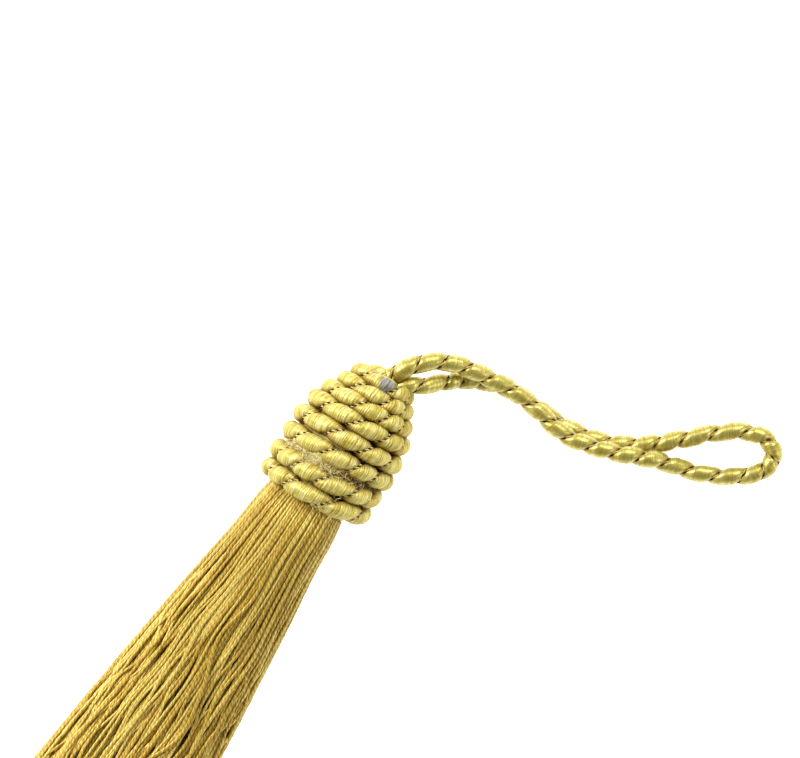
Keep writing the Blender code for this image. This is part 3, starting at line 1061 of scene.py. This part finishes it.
def makeYarn(across, layer, rng, step, sides, stray=False):
    length = skirt["length"] + rng.uniform(-1, 1) * skirt["endSpread"]
    distances = np.arange(skirt["start"], length, step)
    table = np.array(skirt["stations"])
    station = [smoothCurve(table[:, 0], table[:, i], distances) for i in range(1, 5)]
    loose = np.clip((distances - skirt["looseFrom"]) / skirt["looseOver"], 0, 1)
    drifts = skirt["drifts"]
    knots = np.linspace(skirt["driftStart"], skirt["driftEnd"], drifts)
    driftAcross = smoothCurve(knots, rng.normal(0, skirt["driftAcross"], drifts), distances) * loose
    driftLayer = smoothCurve(knots, rng.normal(0, skirt["driftLayer"], drifts), distances) * loose
    gather = skirt["clump"] * loose
    turn = 2 * math.pi * skirt["bundles"]
    driftAcross = driftAcross * (skirt["strayDrift"] if stray else 1) + gather * math.sin(turn * across)
    driftLayer = driftLayer * (skirt["strayLayer"] if stray else 1) + gather * math.sin(turn * layer)
    mostAcross, mostLayer = skirt["widest"]
    y, z = skirtSection(station, np.clip(across + driftAcross, -mostAcross, mostAcross),
                        np.clip(layer + driftLayer, -mostLayer, mostLayer))
    if stray:
        z = z + skirt["strayLift"] * loose * math.copysign(1, layer)
    z = np.maximum(z, skirt["lowest"])
    path = np.stack([skirt["rootX"] - distances, y, z], axis=1)
    along = unit(np.gradient(path, axis=0))
    side = uprightSide(along)
    around = (2 * math.pi * np.arange(sides) / sides)[None, :]
    twist = 2 * math.pi * (distances / (yarn["lobePitch"] * rng.uniform(*yarn["pitches"])) + rng.uniform())
    thickness = yarn["width"] * (1 + yarn["sizeSpread"] * rng.uniform(-1, 1))
    size = thickness / 2 * (1 + yarn["lobe"] * np.cos(2 * (around - twist[:, None])))
    tube = path[:, None] + size[..., None] * spokes(around, side, np.cross(along, side))
    tube[:, :, 2] = np.maximum(tube[:, :, 2], 0.0)
    turned = around + 0 * twist[:, None]
    streakStart = yarn["streakShift"] * rng.uniform()
    wrap = np.stack([np.cos(turned), np.sin(turned), distances[:, None] + streakStart + 0 * turned], axis=-1)
    return tube, wrap, np.full(turned.shape, yarn["toneSpread"] * rng.uniform(-1, 1))


def layerSpots(number, rng):
    # places of the yarns in one layer, counted from the outside
    layerStep = yarn["width"] / skirt["rootHalf"]
    size = 1 - (number + 0.5) * layerStep
    if size < skirt["smallest"]:
        return [(0.0, 0.0)]
    count = round(2 * math.pi * skirt["rootHalf"] * size / yarn["width"])
    shake = skirt["spotShake"]
    return [squareSpot((i + 0.5 * (number % 2) + rng.uniform(-shake, shake)) / count, size)
            for i in range(count)]


def makeSkirt():
    rng = np.random.default_rng(11)
    outer, inner = [], []
    for number in range(skirt["layers"]):
        for across, layer in layerSpots(number, rng):
            if number < skirt["outerLayers"]:
                onTop = number == 0 and layer > skirt["strayTop"]
                stray = onTop and rng.uniform() < skirt["strayShare"]
                outer.append(makeYarn(across, layer, rng, *skirt["outer"], stray))
            else:
                inner.append(makeYarn(across, layer, rng, *skirt["inner"]))
    half = len(outer) // 2
    for label, yarns in (("skirt_outer_yarns", outer[:half]), ("skirt_under_yarns", outer[half:]),
                         ("skirt_inner_yarns", inner)):
        tubes, wraps, tones = zip(*yarns)
        piece = addTubes(label, tubes, yarnSilk, [("wrap", wraps), ("toneAndShade", tones)])
        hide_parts("skirt")
    return len(outer) + len(inner)


print("skirt hung:", makeSkirt(), "yarns")


studio = {
    "floorSize": 3.0,
    "floor": (0.92, 0.92, 0.92),
    "floorGlow": 0.75,
    "floorRough": 0.8,
    "floorSpecular": 0.1,
    "mottle": 0.985,       # the floor's darker patches
    "mottlePlaces": (0.3, 0.7),
    "mottleScale": 40.0,
    "target": (0.0, -5.0, 5.0),  # mm, what the lights point at
    # name, size, power, direction it comes from, distance
    "lights": (
        ("key", 0.26, 6.4, (0.05, 0.85, 0.75), 0.75),
        ("top", 0.26, 3.1, (0.80, 0.05, 0.75), 0.75),
        ("fill", 0.4, 1.8, (0.35, -0.80, 0.55), 0.8),
        ("tail", 0.5, 1.0, (-0.8, 0.3, 0.7), 0.9),
    ),
    "skyLow": 0.8,         # brightness near the horizon and straight up
    "skyHigh": 0.05,
    "skyFrom": 0.1,        # heights between which it changes
    "skyTo": 0.7,
}


def makeStudio():
    bpy.ops.object.select_all(action="DESELECT")
    bpy.ops.mesh.primitive_plane_add(size=studio["floorSize"])
    floor = bpy.context.object
    floor.name = "floor"
    material, nodes, links, shader = newMaterial("floorWhite", studio["floor"])
    darkPlace, lightPlace = studio["mottlePlaces"]
    darkFloor = tuple(studio["mottle"] * v for v in studio["floor"])
    tone = ramp(nodes, links, objectNoise(nodes, links, studio["mottleScale"]),
                [(darkPlace, darkFloor), (lightPlace, studio["floor"])])
    links.new(tone, shader.inputs["Base Color"])
    shader.inputs["Roughness"].default_value = studio["floorRough"]
    shader.inputs["Specular IOR Level"].default_value = studio["floorSpecular"]
    shader.inputs["Emission Color"].default_value = (1, 1, 1, 1)
    shader.inputs["Emission Strength"].default_value = studio["floorGlow"]
    floor.data.materials.append(material)
    target = np.array(studio["target"]) * mm
    for name, size, power, direction, distance in studio["lights"]:
        data = bpy.data.lights.new(name, "AREA")
        data.shape = "SQUARE"
        data.size = size
        data.energy = power
        light = bpy.data.objects.new(name, data)
        bpy.context.scene.collection.objects.link(light)
        away = unit(np.array(direction))
        light.location = target + away * distance
        flat = math.hypot(away[0], away[1])
        light.rotation_euler = (math.atan2(flat, away[2]), 0.0, math.atan2(away[1], away[0]) + math.pi / 2)
    world = bpy.data.worlds.new("studio")
    bpy.context.scene.world = world
    world.use_nodes = True
    nodes, links = world.node_tree.nodes, world.node_tree.links
    place = nodes.new("ShaderNodeTexCoord")
    parts = nodes.new("ShaderNodeSeparateXYZ")
    links.new(place.outputs["Generated"], parts.inputs[0])
    brightness = mapRange(nodes, links, parts.outputs["Z"], studio["skyLow"], studio["skyHigh"],
                          studio["skyFrom"], studio["skyTo"])
    background = nodes["Background"]
    background.inputs["Color"].default_value = (1.0, 1.0, 1.0, 1.0)
    links.new(brightness, background.inputs["Strength"])


makeStudio()
bpy.context.scene.view_settings.view_transform = "Standard"
print("studio ready")
